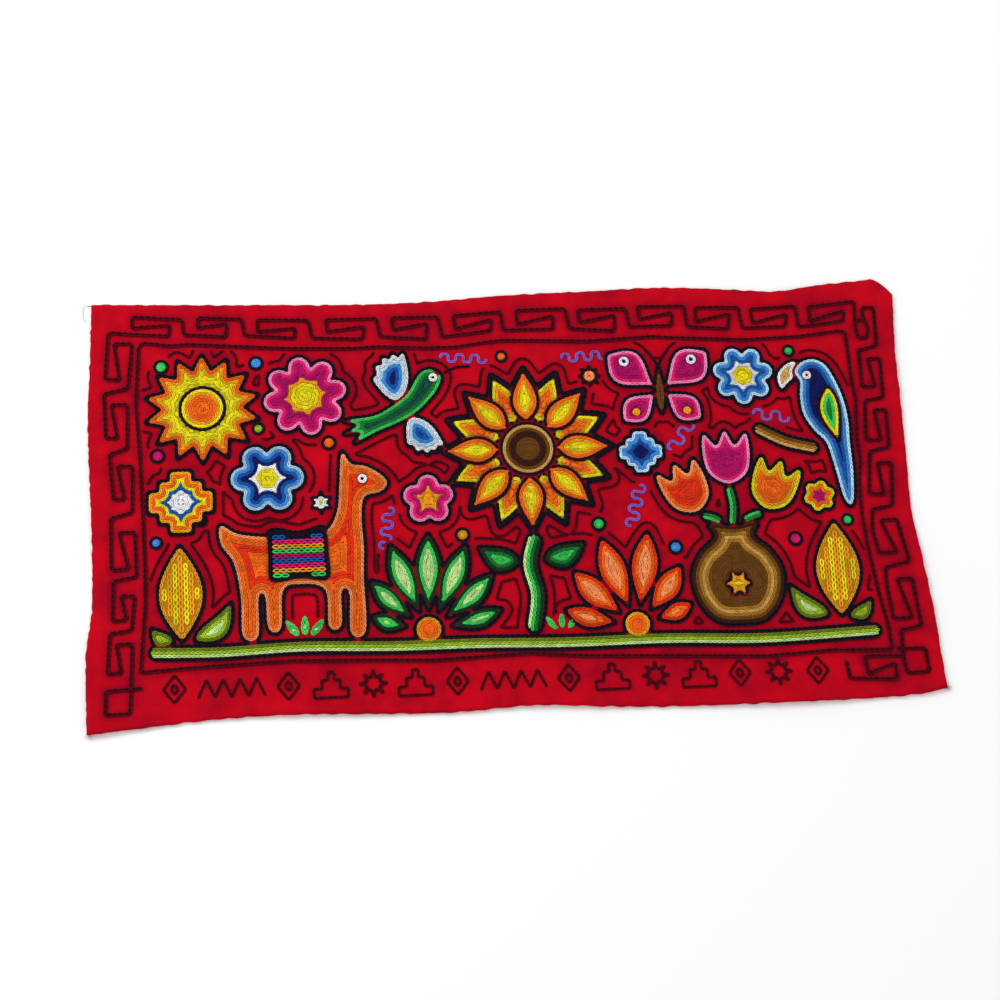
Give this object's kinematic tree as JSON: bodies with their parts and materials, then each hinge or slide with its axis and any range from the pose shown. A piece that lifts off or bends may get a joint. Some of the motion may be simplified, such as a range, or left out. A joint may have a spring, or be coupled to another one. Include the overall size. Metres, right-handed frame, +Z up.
{
  "type": "embroidered wall cloth",
  "caption": "Flat red wool wall cloth with a chain-stitched folk garden of flowers, birds and a llama inside a running fret border.",
  "frame": {"origin": "middle of the cloth's bounding box, on the surface it lies on", "axes": "+X along the long side to the viewer's right, +Y to the top edge of the picture, +Z up out of the worked face"},
  "size_m": [0.8647, 0.4556, 0.0072],
  "materials": {
    "red_ground": "felted plain-woven wool, matt",
    "dark_yarn": "two-ply wool in chain stitch, matt",
    "gold_yarn": "wool yarn in chain stitch, soft sheen",
    "orange_yarn": "wool yarn in chain stitch, soft sheen",
    "pink_yarn": "wool yarn in chain stitch, soft sheen",
    "blue_yarn": "wool yarn in chain stitch, soft sheen",
    "green_yarn": "wool yarn in chain stitch, soft sheen",
    "brown_yarn": "wool yarn in chain stitch, soft sheen"
  },
  "bodies": {
    "root": {"agave_0": "green_yarn", "agave_1": "green_yarn", "agave_2": "green_yarn", "agave_3": "green_yarn", "agave_4": "green_yarn", "agave_5": "green_yarn", "agave_6": "green_yarn", "blossom": "pink_yarn", "branch": "brown_yarn", "corner_square_left": "dark_yarn", "corner_square_right": "dark_yarn", "cross_gold": "gold_yarn", "cross_sky": "blue_yarn", "flame_0": "orange_yarn", "flame_1": "orange_yarn", "flame_2": "orange_yarn", "flame_3": "orange_yarn", "flame_4": "orange_yarn", "flame_5": "orange_yarn", "frame_bottom": "dark_yarn", "frame_left": "dark_yarn", "frame_right": "dark_yarn", "frame_top": "dark_yarn", "fret_bottom": "dark_yarn", "fret_left": "dark_yarn", "fret_right": "dark_yarn", "fret_top": "dark_yarn", "ground_band": "green_yarn", "ground_cloth": "red_ground", "hummingbird": "green_yarn", "husk_left_b": "green_yarn", "husk_right_a": "green_yarn", "husk_right_b": "green_yarn", "jug": "brown_yarn", "llama": "orange_yarn", "macaw": "blue_yarn", "macaw_beak": "gold_yarn", "maize_left": "gold_yarn", "maize_right": "gold_yarn", "rosette_gold": "gold_yarn", "rosette_ice": "blue_yarn", "rosette_pink": "pink_yarn", "rosette_sky": "blue_yarn", "stem_leaf_left": "green_yarn", "stem_leaf_right": "green_yarn", "sun": "gold_yarn", "sunflower": "gold_yarn", "sunflower_stem": "green_yarn", "tulip_left": "orange_yarn", "tulip_middle": "pink_yarn", "tulip_right": "gold_yarn", "tulip_stem_left": "green_yarn", "tulip_stem_middle": "green_yarn", "tulip_stem_right": "green_yarn", "wing_down": "blue_yarn", "wing_left_lower": "pink_yarn", "wing_left_upper": "pink_yarn", "wing_right_lower": "pink_yarn", "wing_right_upper": "pink_yarn", "wing_up": "blue_yarn"}
  },
  "joints": []
}
